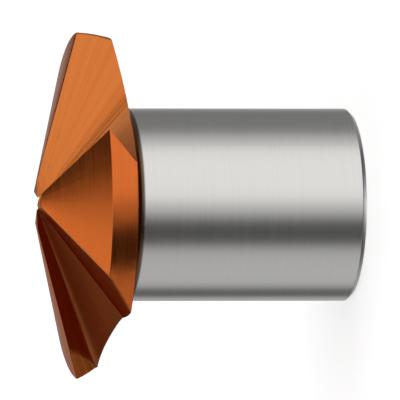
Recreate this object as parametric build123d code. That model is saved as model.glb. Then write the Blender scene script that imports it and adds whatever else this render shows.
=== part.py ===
"""Three-flute countersink bit with a plain cylindrical shank, in one solid of tool steel.

The tool stands on its shank: the origin is the centre of the shank's end face, +Z runs
up the axis to the point, and one tooth is centred on -Y. Lengths are millimetres and
angles are degrees. Angles round the axis are measured from -Y towards +X, which is the
way that a right-hand cutting tool turns when its point is looked at.
"""

from math import cos, hypot, radians, sin, sqrt, tan
import os

from build123d import *

# ---------------------------------------------------------------- driving dimensions

SHANK_DIAMETER = 20.0        # plain cylindrical shank
SHANK_LENGTH = 23.4          # end face to the foot of the neck
SHANK_CHAMFER = 0.5          # edge break round the end face

HEAD_DIAMETER = 36.4         # over the cutting corners
POINT_ANGLE = 148.5          # included angle of the cutting cone
BAND_LENGTH = 2.8            # margin behind the cutting corners
BAND_TAPER = 12.0            # back taper of the margin, a side
BACK_ANGLE = 160.0           # included angle of the shallow cone behind the head
NECK_RADIUS = 1.1            # rounded corner between the back of the head and the shank
TIP_DIAMETER = 5.0           # blunt end of the point

TOOTH_COUNT = 3
RELIEF_SHIFT = 0.25          # how far each tooth's grinding axis lies off the tool axis

# Each flute wall is a plane through three corners of a tooth: at the tip, at the rim
# where the cone meets the band, and at the back of the band. The angles are measured
# from the middle of the tooth. The rake wall holds the cutting edge.
RAKE_ANGLES = (28.1, 25.2, 14.0)
HEEL_ANGLES = (-7.3, -24.2, -39.6)

# The rounded bottom of a flute leaves each wall along a line that opens out from the tip:
# this far from the corner of the walls, in mm for each mm along it.
ROOT_ON_RAKE = 0.35
ROOT_ON_HEEL = 1.10

# ------------------------------------------------------------------- worked-out sizes

shank_radius = SHANK_DIAMETER / 2
tip_radius = TIP_DIAMETER / 2
tooth_pitch = 360 / TOOTH_COUNT
cone_drop = 1 / tan(radians(POINT_ANGLE / 2))      # axial fall of the point per mm of radius
back_rise = 1 / tan(radians(BACK_ANGLE / 2))       # axial rise of the back per mm of radius

# The radius that a tooth is ground to about its own axis leaves the cutting corner on size.
rim_radius = hypot(HEAD_DIAMETER / 2, RELIEF_SHIFT)
back_radius = rim_radius - BAND_LENGTH * tan(radians(BAND_TAPER))
neck_z = SHANK_LENGTH + NECK_RADIUS * tan(radians(BACK_ANGLE / 4))   # its sharp corner
back_z = neck_z + (back_radius - shank_radius) * back_rise
rim_z = back_z + BAND_LENGTH
apex_z = rim_z + rim_radius * cone_drop
tip_z = apex_z - tip_radius * cone_drop
reach = 4 * rim_radius                             # cutters pass this far out of the metal


def polar(radius: float, angle: float, z: float = 0) -> Vector:
    """Return the point at a radius, at an angle from -Y towards +X, and at a height."""
    return Vector(radius * sin(radians(angle)), -radius * cos(radians(angle)), z)


def ground(radius: float, angle: float, z: float) -> Vector:
    """Return the point of a tooth at an angle, where its grinding radius is the one given.

    The grinding axis is shifted square to the cutting corner's radius, so the tooth is at
    full size at its cutting edge and falls away steadily towards its heel.
    """
    turn = radians(angle - RAKE_ANGLES[1] - 90)
    across = RELIEF_SHIFT * sin(turn)
    return polar(RELIEF_SHIFT * cos(turn) + sqrt(radius**2 - across**2), angle, z)


def turned_blank() -> Part:
    """Turn the shank, its chamfered end, the neck and the back of the head in one piece.

    The back and the blunt end run out past the teeth, which are ground from this blank.
    """
    outer = rim_radius + 2 * RELIEF_SHIFT
    outline = Polyline(
        (0, 0),
        (shank_radius - SHANK_CHAMFER, 0),
        (shank_radius, SHANK_CHAMFER),
        (shank_radius, neck_z),
        (outer, neck_z + (outer - shank_radius) * back_rise),
        (outer, tip_z),
        (0, tip_z),
        close=True,
    )
    profile = make_face(outline)
    neck = profile.vertices().sort_by_distance((shank_radius, neck_z))[0]
    return revolve(Plane.XZ * fillet(neck, NECK_RADIUS), Axis.Z)


def tooth_form() -> Part:
    """Make one tooth's share of the cutting cone and band, ground about its shifted axis.

    The band's taper runs on past the back of the head, and the form then goes straight
    down outside the shank, so that it cuts the blank in one clean edge.
    """
    foot_radius = rim_radius - (rim_z - neck_z) * tan(radians(BAND_TAPER))
    outline = Polyline(
        (0, -SHANK_LENGTH),
        (foot_radius, -SHANK_LENGTH),
        (foot_radius, neck_z),
        (rim_radius, rim_z),
        (0, apex_z),
        close=True,
    )
    form = revolve(Plane.XZ * make_face(outline), Axis.Z)
    corners = [polar(reach, side * tooth_pitch / 2) for side in (-1, 1)]
    sector = make_face(Polyline((0, 0), *[(point.X, point.Y) for point in corners], close=True))
    return Pos(polar(RELIEF_SHIFT, RAKE_ANGLES[1] + 90)) * form & extrude(
        sector, reach, both=True
    )


def wall(angles: tuple, turn: float = 0) -> Plane:
    """Return the plane of a flute wall, through a tooth's tip, rim and band-back corners.

    Args:
        angles: the three corners' angles from the middle of the tooth.
        turn: the angle from -Y to the middle of the tooth.
    """
    radii = (tip_radius, rim_radius, back_radius)
    heights = (tip_z, rim_z, back_z)
    tip, rim, back = [
        ground(*corner).rotate(Axis.Z, turn) for corner in zip(radii, angles, heights)
    ]
    return Plane(origin=rim, x_dir=tip - rim, z_dir=(back - rim).cross(tip - rim))


def meeting_point(one: Plane, two: Plane, level: float) -> Vector:
    """Return the point at a height on the line where two planes meet."""
    third = Plane.XY.offset(level)
    a, b, c = one.z_dir, two.z_dir, third.z_dir
    shares = (
        b.cross(c) * a.dot(one.origin)
        + c.cross(a) * b.dot(two.origin)
        + a.cross(b) * c.dot(third.origin)
    )
    return shares / a.dot(b.cross(c))


def flute_cutter() -> Part:
    """Make the space of the flute ahead of the tooth on -Y.

    It is a wedge between the rake wall of that tooth and the heel wall of the next one
    round, less a filler along the line where they meet. The filler's round side runs out
    into both walls. It starts from a point level with the tip, so the bottom of the flute
    opens out as it runs.
    """
    rake = wall(RAKE_ANGLES)
    heel = wall(HEEL_ANGLES, tooth_pitch)
    along = rake.z_dir.cross(heel.z_dir).normalized()
    if along.Z > 0:
        along = -along
    start = meeting_point(rake, heel, tip_z)
    section = Plane(origin=start, z_dir=along)

    # Seen along the root line, each wall is a line from it out past the tooth.
    def trace(plane: Plane) -> tuple:
        flat = section.to_local_coords(plane.origin)
        return flat.X * reach / hypot(flat.X, flat.Y), flat.Y * reach / hypot(flat.X, flat.Y)

    root, on_rake, on_heel = Vector(0, 0), Vector(trace(rake)), Vector(trace(heel))
    wedge = make_face(Polyline(root, on_rake, on_heel, close=True))

    # With this weight the curve would be a true arc if both shares were equal.
    arc_weight = sin(radians(on_rake.get_angle(on_heel) / 2))
    from_rake, to_heel = on_rake * ROOT_ON_RAKE, on_heel * ROOT_ON_HEEL
    curve = Bezier(from_rake, root, to_heel, weights=[1, arc_weight, 1])
    filler = make_face([Line(root, from_rake), curve, Line(to_heel, root)])
    bottom = loft([Vertex(start), section.offset(reach) * filler])
    return extrude(section * wedge, reach, both=True) - bottom


def countersink_bit() -> Part:
    """Grind the teeth on the turned blank and cut the flutes between them."""
    turns = [Rot(Z=index * tooth_pitch) for index in range(TOOTH_COUNT)]
    tooth = tooth_form()
    flute = flute_cutter()
    bit = turned_blank() & Part() + [turn * tooth for turn in turns]
    return bit - [turn * flute for turn in turns]


os.makedirs("parts", exist_ok=True)
export_step(countersink_bit(), "parts/countersink_bit.step")
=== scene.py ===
"""Looks of a three-flute countersink bit: a coated cutting head on a ground steel shank.

The bit is one piece of hardened tool steel. It stands on the end of its shank, with its
point up and one tooth towards -Y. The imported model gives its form, and this script gives
it broken edges, the finish that each surface was left with, a studio and a camera.
Fields hold millimetres and degrees, and Blender's own values are metres and radians.
"""

import logging
from dataclasses import dataclass, replace
from enum import Enum
from math import atan2, cos, degrees, radians, sin

import bpy
from mathutils import Matrix, Vector

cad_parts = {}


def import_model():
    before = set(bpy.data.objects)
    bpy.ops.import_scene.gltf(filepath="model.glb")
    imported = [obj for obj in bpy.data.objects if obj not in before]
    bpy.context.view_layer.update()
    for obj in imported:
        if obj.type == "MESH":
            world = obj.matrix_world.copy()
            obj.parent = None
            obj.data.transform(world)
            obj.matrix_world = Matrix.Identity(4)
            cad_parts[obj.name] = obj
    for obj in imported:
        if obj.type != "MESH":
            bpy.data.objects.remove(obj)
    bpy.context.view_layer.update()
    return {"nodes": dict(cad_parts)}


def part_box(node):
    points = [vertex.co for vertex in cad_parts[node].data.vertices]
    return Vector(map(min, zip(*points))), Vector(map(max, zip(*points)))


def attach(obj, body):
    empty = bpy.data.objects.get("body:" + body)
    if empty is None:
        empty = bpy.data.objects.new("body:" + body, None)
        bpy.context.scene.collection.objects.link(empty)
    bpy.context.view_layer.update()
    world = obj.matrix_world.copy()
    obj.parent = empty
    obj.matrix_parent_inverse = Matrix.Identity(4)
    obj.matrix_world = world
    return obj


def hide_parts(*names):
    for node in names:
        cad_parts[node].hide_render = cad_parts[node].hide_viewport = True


MM = 0.001
NODE = "countersink_bit"
TEETH = 3

log = logging.getLogger("countersink")


def linear(colour: str) -> tuple[float, float, float, float]:
    """Turn an sRGB colour into the linear values that Blender works in.

    Args:
        colour: "#RRGGBB".

    Returns:
        Red, green, blue and an alpha of 1, each from 0 to 1.
    """
    shares = [int(colour[at : at + 2], 16) / 255 for at in (1, 3, 5)]
    red, green, blue = [
        share / 12.92 if share <= 0.04045 else ((share + 0.055) / 1.055) ** 2.4
        for share in shares
    ]
    return red, green, blue, 1.0


def add_node(
    tree: bpy.types.NodeTree, kind: str, inputs: dict | None = None, **settings: object
) -> bpy.types.Node:
    """Add a node with its settings and links.

    Args:
        tree: the node tree that takes the node.
        kind: the node's type, such as "ShaderNodeMath".
        inputs: a value or an output socket to link, for each input by name or number.
        settings: the node's own properties, such as operation="MULTIPLY".

    Returns:
        The new node.
    """
    node = tree.nodes.new(kind)
    for name, value in settings.items():
        setattr(node, name, value)
    for socket, value in (inputs or {}).items():
        if isinstance(value, bpy.types.NodeSocket):
            tree.links.new(value, node.inputs[socket])
        else:
            node.inputs[socket].default_value = value
    return node


class Surface(Enum):
    """The bit's kinds of surface. Each value is its place in the mesh's list of materials."""

    SHANK = 0
    LAND = 1
    WALL = 2
    ROOT = 3
    RAKE = 4
    END = 5


@dataclass(frozen=True)
class RingMarks:
    """Marks that a wheel or a tool leaves round the axis, as a height for the Bump node."""

    spacing: float                   # mm between marks
    length: float                    # how slowly a mark fades round the axis, larger is longer
    detail: float = 2.0
    harshness: float = 0.6           # how strong the finest marks are
    turns: float = 10.0              # noise scale round the axis for a length of 1

    def height(self, tree: bpy.types.NodeTree) -> bpy.types.NodeSocket:
        """Add marks that keep one radius and height, and fade slowly round the axis.

        Args:
            tree: the material's node tree.

        Returns:
            The socket of a 0 to 1 pattern, read from Object coordinates.
        """
        place = add_node(tree, "ShaderNodeTexCoord").outputs["Object"]
        flat = add_node(
            tree, "ShaderNodeVectorMath", {0: place, 1: (1, 1, 0)}, operation="MULTIPLY"
        ).outputs[0]
        radius = add_node(
            tree, "ShaderNodeVectorMath", {0: flat}, operation="LENGTH"
        ).outputs["Value"]
        round_axis = add_node(
            tree, "ShaderNodeVectorMath", {0: flat}, operation="NORMALIZE"
        ).outputs[0]
        height = add_node(tree, "ShaderNodeSeparateXYZ", {0: place}).outputs["Z"]
        across = add_node(
            tree, "ShaderNodeCombineXYZ", {"X": radius, "Y": height}
        ).outputs[0]
        fine = add_node(
            tree,
            "ShaderNodeVectorMath",
            {0: across, "Scale": 1 / (self.spacing * MM)},
            operation="SCALE",
        ).outputs[0]
        slow = add_node(
            tree,
            "ShaderNodeVectorMath",
            {0: round_axis, "Scale": self.turns / self.length},
            operation="SCALE",
        ).outputs[0]
        turned = add_node(
            tree,
            "ShaderNodeVectorRotate",
            {"Vector": slow, "Angle": radians(90)},
            rotation_type="Y_AXIS",
        ).outputs[0]
        mixed = add_node(
            tree, "ShaderNodeVectorMath", {0: fine, 1: turned}, operation="ADD"
        ).outputs[0]
        return add_node(
            tree,
            "ShaderNodeTexNoise",
            {
                "Vector": mixed,
                "Scale": 1.0,
                "Detail": self.detail,
                "Roughness": self.harshness,
            },
        ).outputs["Fac"]


@dataclass(frozen=True)
class FanMarks:
    """Marks that run out from the point along a flute, as a height for the Bump node."""

    spacing: float                   # mm between marks at the rim
    origin: float                    # mm, height of the point that the fan opens from
    detail: float = 5.0
    harshness: float = 0.75          # how strong the finest marks are

    def height(self, tree: bpy.types.NodeTree) -> bpy.types.NodeSocket:
        """Add marks that open out from the point.

        Args:
            tree: the material's node tree.

        Returns:
            The socket of a 0 to 1 pattern, read from Object coordinates.
        """
        low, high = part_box(NODE)
        reach = (high.x - low.x) / 2
        place = add_node(tree, "ShaderNodeTexCoord").outputs["Object"]
        outward = add_node(
            tree,
            "ShaderNodeVectorMath",
            {0: place, 1: (0, 0, self.origin * MM)},
            operation="SUBTRACT",
        ).outputs[0]
        heading = add_node(
            tree, "ShaderNodeVectorMath", {0: outward}, operation="NORMALIZE"
        ).outputs[0]
        return add_node(
            tree,
            "ShaderNodeTexNoise",
            {
                "Vector": heading,
                "Scale": reach / (self.spacing * MM),
                "Detail": self.detail,
                "Roughness": self.harshness,
            },
        ).outputs["Fac"]


@dataclass(frozen=True)
class WallHollow:
    """The slight hollow that the wheel's round shoulder leaves across a trailing wall.

    The wall is flat near the tooth, and turns up towards the bottom of the flute.
    """

    flat_until: float                # degrees round the axis from -Y, in the flute ahead of it
    full_at: float
    rise: float                      # share of the distance from the point that it rises by
    origin: float                    # mm, height of the point that the flutes open from
    curve: float = 2.0               # power that the rise grows by, 2 for a round hollow

    def height(self, tree: bpy.types.NodeTree) -> bpy.types.NodeSocket:
        """Add the hollow's height.

        Args:
            tree: the material's node tree.

        Returns:
            The socket of the height in metres.
        """
        place = add_node(tree, "ShaderNodeTexCoord").outputs["Object"]
        outward = add_node(
            tree,
            "ShaderNodeVectorMath",
            {0: place, 1: (0, 0, self.origin * MM)},
            operation="SUBTRACT",
        ).outputs[0]
        reach = add_node(
            tree, "ShaderNodeVectorMath", {0: outward}, operation="LENGTH"
        ).outputs["Value"]
        axes = add_node(tree, "ShaderNodeSeparateXYZ", {0: place}).outputs
        ahead = add_node(tree, "ShaderNodeMath", {0: axes["Y"], 1: -1.0}, operation="MULTIPLY")
        azimuth = add_node(
            tree,
            "ShaderNodeMath",
            {0: axes["X"], 1: ahead.outputs[0]},
            operation="ARCTAN2",
        ).outputs[0]
        in_flute = add_node(
            tree,
            "ShaderNodeMath",
            {0: azimuth, 1: 0.0, 2: radians(360 / TEETH)},
            operation="WRAP",
        ).outputs[0]
        share = add_node(
            tree,
            "ShaderNodeMapRange",
            {
                "Value": in_flute,
                "From Min": radians(self.flat_until),
                "From Max": radians(self.full_at),
            },
        ).outputs[0]
        bowed = add_node(
            tree, "ShaderNodeMath", {0: share, 1: self.curve}, operation="POWER"
        ).outputs[0]
        rise = add_node(
            tree, "ShaderNodeMath", {0: reach, 1: self.rise}, operation="MULTIPLY"
        ).outputs[0]
        return add_node(
            tree, "ShaderNodeMath", {0: bowed, 1: rise}, operation="MULTIPLY"
        ).outputs[0]


@dataclass(frozen=True)
class RunOutWithNeckShade:
    """Where the coating thins out along the shank, as bands of colour by height, with painted shade at
    the neck.
    """

    stops: tuple[tuple[float, float, str], ...]     # mm where each colour starts and is full

    def over(
        self, tree: bpy.types.NodeTree, tone: bpy.types.NodeSocket
    ) -> bpy.types.NodeSocket:
        """Lay the colours over a tone by height.

        Args:
            tree: the material's node tree.
            tone: the colour of the bare steel.

        Returns:
            The socket of the result.
        """
        place = add_node(tree, "ShaderNodeTexCoord").outputs["Object"]
        height = add_node(tree, "ShaderNodeSeparateXYZ", {0: place}).outputs["Z"]
        for start, full, colour in self.stops:
            cover = add_node(
                tree,
                "ShaderNodeMapRange",
                {"Value": height, "From Min": start * MM, "From Max": full * MM},
                interpolation_type="SMOOTHSTEP",
            ).outputs[0]
            tone = add_node(
                tree,
                "ShaderNodeMix",
                {"Factor": cover, 6: tone, 7: linear(colour)},
                data_type="RGBA",
            ).outputs[2]
        return tone


@dataclass(frozen=True)
class GroundMetal:
    """A metal surface as a grinding wheel left it, bare or under a thin hard coating."""

    name: str
    colour: str
    worn_colour: str                 # where the marks catch the light
    roughness: float
    uneven: float                    # how far the roughness swings with the marks
    marks: RingMarks | FanMarks
    depth: float                     # mm from the top to the bottom of a mark
    edge_tint: str = "#FFFFFF"       # what the metal turns to where it is seen edge on
    metallic: float = 1.0
    hollow: WallHollow | None = None
    run_out_with_neck_shade: RunOutWithNeckShade | None = None

    def make(self) -> bpy.types.Material:
        """Make the material.

        Returns:
            The new material.
        """
        material = bpy.data.materials.new(self.name)
        material.use_nodes = True
        tree = material.node_tree
        tree.nodes.clear()
        height = self.marks.height(tree)
        tone = add_node(
            tree,
            "ShaderNodeMix",
            {
                "Factor": height,
                6: linear(self.colour),
                7: linear(self.worn_colour),
            },
            data_type="RGBA",
        ).outputs[2]
        if self.run_out_with_neck_shade:
            tone = self.run_out_with_neck_shade.over(tree, tone)
        rough = add_node(
            tree,
            "ShaderNodeMapRange",
            {
                "Value": height,
                "To Min": self.roughness - self.uneven,
                "To Max": self.roughness + self.uneven,
            },
        ).outputs[0]
        normal = add_node(
            tree,
            "ShaderNodeBump",
            {"Height": height, "Distance": self.depth * MM, "Strength": 1.0},
        ).outputs[0]
        if self.hollow:
            bow = self.hollow.height(tree)
            normal = add_node(
                tree,
                "ShaderNodeBump",
                {"Height": bow, "Distance": 1.0, "Strength": 1.0, "Normal": normal},
            ).outputs[0]
        shader = add_node(
            tree,
            "ShaderNodeBsdfPrincipled",
            {
                "Base Color": tone,
                "Metallic": self.metallic,
                "Roughness": rough,
                "Normal": normal,
                "Specular Tint": linear(self.edge_tint),
            },
        ).outputs[0]
        add_node(tree, "ShaderNodeOutputMaterial", {"Surface": shader})
        return material


@dataclass
class CountersinkBit:
    """The bit: one piece of tool steel, with broken edges and a finish for each surface."""

    edge_break: float = 0.06         # mm taken off each sharp edge by deburring
    merge_distance: float = 0.001    # mm, corners nearer than this are one
    flat_angle: float = 0.05         # triangles that meet at less are one flat face
    edge_angle: float = 30.0         # edges sharper than this are broken
    edge_steps: int = 4              # faces across a broken edge
    flatness: int = 80               # how far large faces outweigh small ones in the shading
    smallest_edge: float = 0.002     # mm, shorter edges and thinner faces are merged
    heel_break: float = 0.2          # mm, rounding of the trailing edges at the rim
    heel_start: float = 6.0          # mm from the axis where that rounding starts
    heel_full: float = 14.0          # and where it is full
    heel_slope: float = 0.2          # heel edges climb by more than this share of their run
    back_z: float = 25.7             # mm, the back edge of the bands
    neck_z: float = 22.5             # mm, above this the flutes can reach
    neck_radius: float = 12.5        # mm, inside this the back of the head is its neck
    root_foot: float = 24.8          # mm, no flute bottom lies lower inside that radius
    chamfer_z: float = 0.51          # mm, just above the end chamfer of the shank
    point_z: float = 33.64           # mm, where the cutting cone would come to a point
    point_fall: float = 0.282        # mm that the cone falls for each mm of radius
    band_radius: float = 17.4        # mm, the bands lie outside this
    root_depth: float = 0.30         # mm below the cone that a flute's bottom starts at
    break_slope: float = 0.25        # faces squarer to the axis than this are round the band
    turned_slope: float = 0.1        # turned faces lean round the axis by less than this
    wall_slope: float = 0.3          # how far a wall leans round the axis, as a sine
    rake_fall: float = -0.6          # cutting faces look down by more than this, as a sine
    back_fall: float = -0.65         # and so does the back of the head
    smooth_angle: float = 28.0       # faces that meet at less are one smooth surface
    piece: bpy.types.Object | None = None

    def build(self, node: bpy.types.Object) -> None:
        """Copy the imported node, join its loose triangles and break its sharp edges.

        Args:
            node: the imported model's node, which stays as it is.
        """
        self.piece = node.copy()
        self.piece.data = node.data.copy()
        self.piece.name = "coated_countersink"
        self.piece.parent = None
        for key in list(self.piece.keys()):
            del self.piece[key]
        bpy.context.scene.collection.objects.link(self.piece)
        bpy.ops.object.select_all(action="DESELECT")
        self.piece.select_set(True)
        bpy.context.view_layer.objects.active = self.piece
        bpy.ops.mesh.customdata_custom_splitnormals_clear()
        bpy.ops.object.mode_set(mode="EDIT")
        bpy.ops.mesh.select_all(action="SELECT")
        bpy.ops.mesh.remove_doubles(threshold=self.merge_distance * MM)
        bpy.ops.mesh.dissolve_limited(angle_limit=radians(self.flat_angle))
        bpy.ops.mesh.select_all(action="DESELECT")
        bpy.ops.mesh.select_mode(type="EDGE")
        bpy.ops.mesh.edges_select_sharp(sharpness=radians(self.edge_angle))
        bpy.ops.object.mode_set(mode="OBJECT")
        self.weigh_edges()
        bevel = self.piece.modifiers.new("broken_edges", "BEVEL")
        bevel.limit_method = "WEIGHT"
        bevel.width = self.heel_break * MM
        bevel.segments = self.edge_steps
        bevel.use_clamp_overlap = False
        bpy.ops.object.modifier_apply(modifier=bevel.name)
        bpy.ops.object.mode_set(mode="EDIT")
        bpy.ops.mesh.select_all(action="SELECT")
        bpy.ops.mesh.dissolve_degenerate(threshold=self.smallest_edge * MM)
        bpy.ops.object.mode_set(mode="OBJECT")
        bpy.ops.object.shade_smooth_by_angle(angle=radians(self.smooth_angle))
        weighted = self.piece.modifiers.new("flat_faces_stay_flat", "WEIGHTED_NORMAL")
        weighted.keep_sharp = True
        weighted.weight = self.flatness
        bpy.ops.object.modifier_apply(modifier=weighted.name)
        log.info("%s: %d faces", self.piece.name, len(self.piece.data.polygons))

    def weigh_edges(self) -> None:
        """Say how much each selected sharp edge loses, as its share of the widest break."""
        mesh = self.piece.data
        weights = mesh.attributes.new("bevel_weight_edge", "FLOAT", "EDGE")
        for edge in mesh.edges:
            if edge.select:
                weights.data[edge.index].value = self.break_of(edge) / self.heel_break

    def break_of(self, edge: bpy.types.MeshEdge) -> float:
        """Return the width in mm that a sharp edge is broken by.

        The trailing edges are rounded, from nothing much at the point to their full width
        further out. The others, the cutting edges among them, are only deburred.

        Args:
            edge: a sharp edge of the piece's mesh.

        Returns:
            The width in mm.
        """
        start, end = [self.piece.data.vertices[index].co / MM for index in edge.vertices]
        middle = (start + end) / 2
        slope = abs(start.z - end.z) / (start - end).length
        pitch = 360 / TEETH
        azimuth = degrees(atan2(middle.x, -middle.y))
        from_tooth = (azimuth + pitch / 2) % pitch - pitch / 2
        if from_tooth > 0 or slope < self.heel_slope or middle.z < self.back_z:
            return self.edge_break
        radius = Vector((middle.x, middle.y)).length
        share = (radius - self.heel_start) / (self.heel_full - self.heel_start)
        return self.edge_break + (self.heel_break - self.edge_break) * min(max(share, 0), 1)

    def dress(self) -> None:
        """Give each surface its finish, by where it lies on the bit."""
        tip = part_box(NODE)[1].z / MM
        # Bare hardened steel, ground round its axis: a bright grey that mirrors upright strips
        # as soft bands, crossed by faint rings. The rings are drawn coarser than real ones,
        # which are too fine to show. Towards the head the coating runs out in a dark olive and a
        # dark brown band: their tint is the coating's, and their darkness is painted shade of the
        # neck under the head.
        shank = GroundMetal(
            name="high_speed_steel_cylindrically_ground",
            colour="#DEDDDA",
            worn_colour="#EBEAE7",
            roughness=0.30,
            uneven=0.05,
            marks=RingMarks(spacing=0.12, length=14.0),
            depth=0.0015,
            run_out_with_neck_shade=RunOutWithNeckShade(
                stops=(
                    # Painted shade: the two dark bands stand for the neck's shade under the head, in
                    # the coating's run-out tint.
                    (23.35, 23.60, "#6C6151"),
                    (23.65, 23.95, "#7C3B1C"),
                    (24.60, 25.20, "#DB6A28"),
                )
            ),
        )
        # The same steel as a lathe tool left it: duller than the shank, with rings that are
        # coarser than real ones. It is a little paler than the shank, which is painted light that
        # lightens the dark ring the chamfer renders as. It covers the end face too.
        chamfer = GroundMetal(
            name="high_speed_steel_turned_painted_paler",
            colour="#E6E5E2",
            worn_colour="#F2F1EE",
            roughness=0.34,
            uneven=0.05,
            marks=RingMarks(spacing=0.15, length=30.0),
            depth=0.004,
        )
        # A thin nitride coating over ground steel: copper orange with a metal's gloss, and
        # arcs round the axis where each tooth was relieved. They are coarser than real ones.
        land = GroundMetal(
            name="nitride_coating_on_ground_land",
            colour="#D0642A",
            worn_colour="#EC7C3C",
            roughness=0.23,
            uneven=0.08,
            marks=RingMarks(spacing=0.20, length=8.0),
            depth=0.008,
            edge_tint="#F4D2BC",
        )
        # The coating where the wheel ran out from the point: glossier than the lands, with
        # streaks that open out like a fan. The streaks are many times coarser than real ones.
        flute = GroundMetal(
            name="nitride_coating_on_ground_flute",
            colour="#D06A28",
            worn_colour="#F2914E",
            roughness=0.16,
            uneven=0.06,
            marks=FanMarks(spacing=1.20, origin=tip),
            depth=0.035,
            edge_tint="#F4D2BC",
            hollow=WallHollow(flat_until=72.0, full_at=46.0, rise=0.05, origin=tip),
        )
        # The coating in the round bottom of the flute: satin beside the glossier walls. It is
        # set a little short of full metal, which lifts the darks that it mirrors. Its streaks
        # are coarser than real ones.
        root = GroundMetal(
            name="nitride_coating_on_ground_root",
            colour="#C86C32",
            worn_colour="#EC9458",
            roughness=0.36,
            metallic=0.82,
            uneven=0.08,
            marks=FanMarks(spacing=0.80, origin=tip),
            depth=0.02,
            edge_tint="#F4D2BC",
        )
        # The cutting faces have the flutes' finish. Their colour is darker than the coating
        # is: it stands in for shade that the open tent doesn't give them.
        rake = replace(
            flute,
            name="nitride_coating_on_ground_cutting_face",
            colour="#B0561F",
            worn_colour="#CE723A",
            hollow=None,
        )
        mesh = self.piece.data
        mesh.materials.clear()
        # In the order of Surface's values.
        for finish in (shank, land, flute, root, rake, chamfer):
            mesh.materials.append(finish.make())
        for face in mesh.polygons:
            face.material_index = self.surface_of(face).value
        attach(self.piece, "root")
        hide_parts(NODE)

    def surface_of(self, face: bpy.types.MeshPolygon) -> Surface:
        """Tell which surface of the bit a face belongs to, by its place and slope.

        Args:
            face: a face of the piece's mesh.

        Returns:
            The kind of surface.
        """
        centre, normal = face.center / MM, face.normal
        outward = Vector((centre.x, centre.y, 0))
        radius = outward.length
        across = normal.dot(Vector((0, 0, 1)).cross(outward.normalized()))
        if centre.z < self.chamfer_z:
            return Surface.END
        if radius < self.neck_radius and centre.z < self.root_foot and abs(across) < self.turned_slope:
            return Surface.SHANK
        if across < -self.wall_slope and centre.z > self.neck_z:
            return Surface.WALL
        if across > self.wall_slope and normal.z < self.rake_fall:
            return Surface.RAKE
        if abs(across) < self.break_slope and normal.z < self.break_slope:
            return Surface.LAND
        depth = self.point_z - radius * self.point_fall - centre.z
        in_head = centre.z > self.neck_z and radius < self.band_radius
        if in_head and depth > self.root_depth and normal.z > self.back_fall:
            return Surface.ROOT
        return Surface.LAND


@dataclass(frozen=True)
class Card:
    """A soft-edged patch of the light tent, placed as it is seen from the bit."""

    azimuth: float                   # its middle, from -Y towards +X
    half_width: float
    bottom: float                    # elevations of its lower and upper edge
    top: float
    level: float                     # how bright it is, where 1 is white
    edge: float = 12.0               # width of its soft edge


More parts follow.
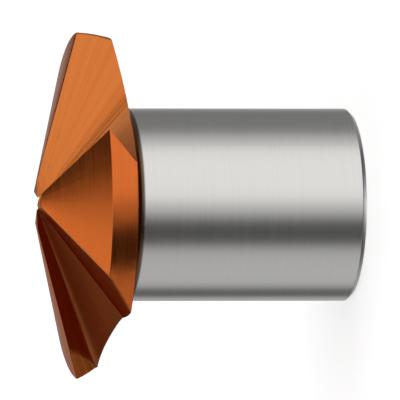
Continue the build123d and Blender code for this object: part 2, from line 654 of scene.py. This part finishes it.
@dataclass
class Studio:
    """A white floor and a light tent with soft cards, all of it plain and colourless."""

    floor_size: float = 4000.0
    floor_colour: str = "#F2F2F2"
    floor_lift: float = 0.60         # glow that only the camera sees
    tent_level: float = 0.68         # brightness of the tent between the cards
    # The cards were set by trial, for where the metal mirrors them. Later ones cover earlier.
    cards: tuple[Card, ...] = (
        # Overhead light, and the dark under the floor that only reflections reach.
        Card(azimuth=0, half_width=200, bottom=58, top=100, level=1.1),
        Card(azimuth=0, half_width=200, bottom=-100, top=-50, level=0.05),
        Card(azimuth=180, half_width=20, bottom=-100, top=-58, level=1.8),
        # Upright strips, which the shank and the bands mirror.
        Card(azimuth=38, half_width=36, bottom=-50, top=30, level=1.2),
        Card(azimuth=-33, half_width=18, bottom=-50, top=30, level=0.06),
        Card(azimuth=125, half_width=32, bottom=-50, top=22, level=0.26),
        Card(azimuth=-132, half_width=14, bottom=-50, top=30, level=0.10),
        # Behind the bit and above it, which the lands and the upper flute mirror.
        Card(azimuth=-95, half_width=66, bottom=4, top=56, level=0.12),
        Card(azimuth=-128, half_width=18, bottom=33, top=52, level=0.60),
        Card(azimuth=140, half_width=16, bottom=24, top=48, level=0.30),
        Card(azimuth=135, half_width=16, bottom=49, top=75, level=1.1, edge=16),
        Card(azimuth=167, half_width=13, bottom=5, top=60, level=0.05, edge=8),
        Card(azimuth=-168, half_width=12, bottom=30, top=62, level=1.1, edge=8),
        Card(azimuth=174, half_width=8, bottom=-40, top=3, level=0.62, edge=5),
        Card(azimuth=-150, half_width=13, bottom=4, top=25, level=0.9, edge=6),
        Card(azimuth=-172, half_width=6, bottom=-40, top=8, level=0.34, edge=5),
    )

    def build(self) -> None:
        """Make the floor and the tent."""
        bpy.ops.mesh.primitive_plane_add(size=self.floor_size * MM)
        floor = bpy.context.object
        floor.name = "studio_floor"
        floor.data.materials.append(self.floor_material())
        floor.visible_glossy = False
        self.tent()

    def floor_material(self) -> bpy.types.Material:
        """Make matt white paper, lifted to white for the camera alone.

        Returns:
            The new material.
        """
        material = bpy.data.materials.new("white_paper_sweep")
        material.use_nodes = True
        tree = material.node_tree
        tree.nodes.clear()
        paper = add_node(
            tree, "ShaderNodeBsdfDiffuse", {"Color": linear(self.floor_colour)}
        ).outputs[0]
        seen = add_node(tree, "ShaderNodeLightPath").outputs["Is Camera Ray"]
        strength = add_node(
            tree, "ShaderNodeMath", {0: seen, 1: self.floor_lift}, operation="MULTIPLY"
        ).outputs[0]
        glow = add_node(tree, "ShaderNodeEmission", {"Strength": strength}).outputs[0]
        both = add_node(tree, "ShaderNodeAddShader", {0: paper, 1: glow}).outputs[0]
        add_node(tree, "ShaderNodeOutputMaterial", {"Surface": both})
        return material

    def tent(self) -> None:
        """Paint the cards on the world, which is plain white where the camera sees it."""
        world = bpy.data.worlds.new("light_tent")
        world.use_nodes = True
        bpy.context.scene.world = world
        tree = world.node_tree
        tree.nodes.clear()
        heading = add_node(tree, "ShaderNodeTexCoord").outputs["Object"]
        parts = add_node(tree, "ShaderNodeSeparateXYZ", {0: heading}).outputs
        flat = add_node(
            tree, "ShaderNodeVectorMath", {0: heading, 1: (1, 1, 0)}, operation="MULTIPLY"
        ).outputs[0]
        round_axis = add_node(
            tree, "ShaderNodeVectorMath", {0: flat}, operation="NORMALIZE"
        ).outputs[0]
        elevation = add_node(
            tree, "ShaderNodeMath", {0: parts["Z"]}, operation="ARCSINE"
        ).outputs[0]
        level = self.tent_level
        for card in self.cards:
            level = self.card_over(tree, card, level, round_axis, elevation)
        seen = add_node(tree, "ShaderNodeLightPath").outputs["Is Camera Ray"]
        shown = add_node(tree, "ShaderNodeMix", {0: seen, 2: level, 3: 1.0}).outputs[0]
        background = add_node(
            tree, "ShaderNodeBackground", {"Strength": shown}
        ).outputs[0]
        add_node(tree, "ShaderNodeOutputWorld", {"Surface": background})

    def card_over(
        self,
        tree: bpy.types.NodeTree,
        card: Card,
        level: float | bpy.types.NodeSocket,
        round_axis: bpy.types.NodeSocket,
        elevation: bpy.types.NodeSocket,
    ) -> bpy.types.NodeSocket:
        """Lay a card over the tent.

        Args:
            tree: the world's node tree.
            card: the card to lay.
            level: the brightness under it, a number or a socket.
            round_axis: the direction that is looked in, level and of length 1.
            elevation: the angle above level that is looked at.

        Returns:
            The socket of the new brightness.
        """
        middle = (sin(radians(card.azimuth)), -cos(radians(card.azimuth)), 0)
        likeness = add_node(
            tree, "ShaderNodeVectorMath", {0: round_axis, 1: middle}, operation="DOT_PRODUCT"
        ).outputs["Value"]
        away = add_node(
            tree, "ShaderNodeMath", {0: likeness}, operation="ARCCOSINE"
        ).outputs[0]
        sides = [
            (away, card.half_width, -1),
            (elevation, card.bottom, 1),
            (elevation, card.top, -1),
        ]
        mask = 1.0
        for angle, limit, sign in sides:
            inside = add_node(
                tree,
                "ShaderNodeMapRange",
                {
                    "Value": angle,
                    "From Min": radians(limit - sign * card.edge / 2),
                    "From Max": radians(limit + sign * card.edge / 2),
                },
                interpolation_type="SMOOTHSTEP",
            ).outputs[0]
            mask = add_node(
                tree, "ShaderNodeMath", {0: inside, 1: mask}, operation="MULTIPLY"
            ).outputs[0]
        return add_node(
            tree, "ShaderNodeMix", {0: mask, 2: level, 3: card.level}
        ).outputs[0]


@dataclass
class LyingView:
    """A long-lens camera that is rolled over, so that the standing bit lies on its side."""

    lens: float = 1200.0
    sensor: float = 36.0
    frame_width: float = 41.558      # mm across the picture at the bit's axis
    climb: float = 11.36             # degrees that it looks down by
    target: tuple[float, float, float] = (0.488, 0.0, 15.72)

    def build(self) -> None:
        """Make the camera and use it."""
        towards = Vector((0, -cos(radians(self.climb)), sin(radians(self.climb))))
        up = Vector((1, 0, 0))
        right = up.cross(towards)
        distance = self.frame_width / self.sensor * self.lens
        place = (Vector(self.target) + towards * distance) * MM
        turn = Matrix((right, up, towards)).transposed()
        bpy.ops.object.camera_add(location=place, rotation=turn.to_euler())
        camera = bpy.context.object
        camera.name = "lying_view"
        camera.data.lens = self.lens
        camera.data.sensor_width = self.sensor
        bpy.context.scene.camera = camera


def main() -> None:
    """Build the bit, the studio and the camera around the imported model."""
    logging.basicConfig(level=logging.INFO, format="%(name)s: %(message)s")
    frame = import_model()
    bit = CountersinkBit()
    bit.build(frame["nodes"][NODE])
    bit.dress()
    Studio().build()
    LyingView().build()
    bpy.context.scene.view_settings.view_transform = "Standard"


if __name__ == "__main__":
    main()
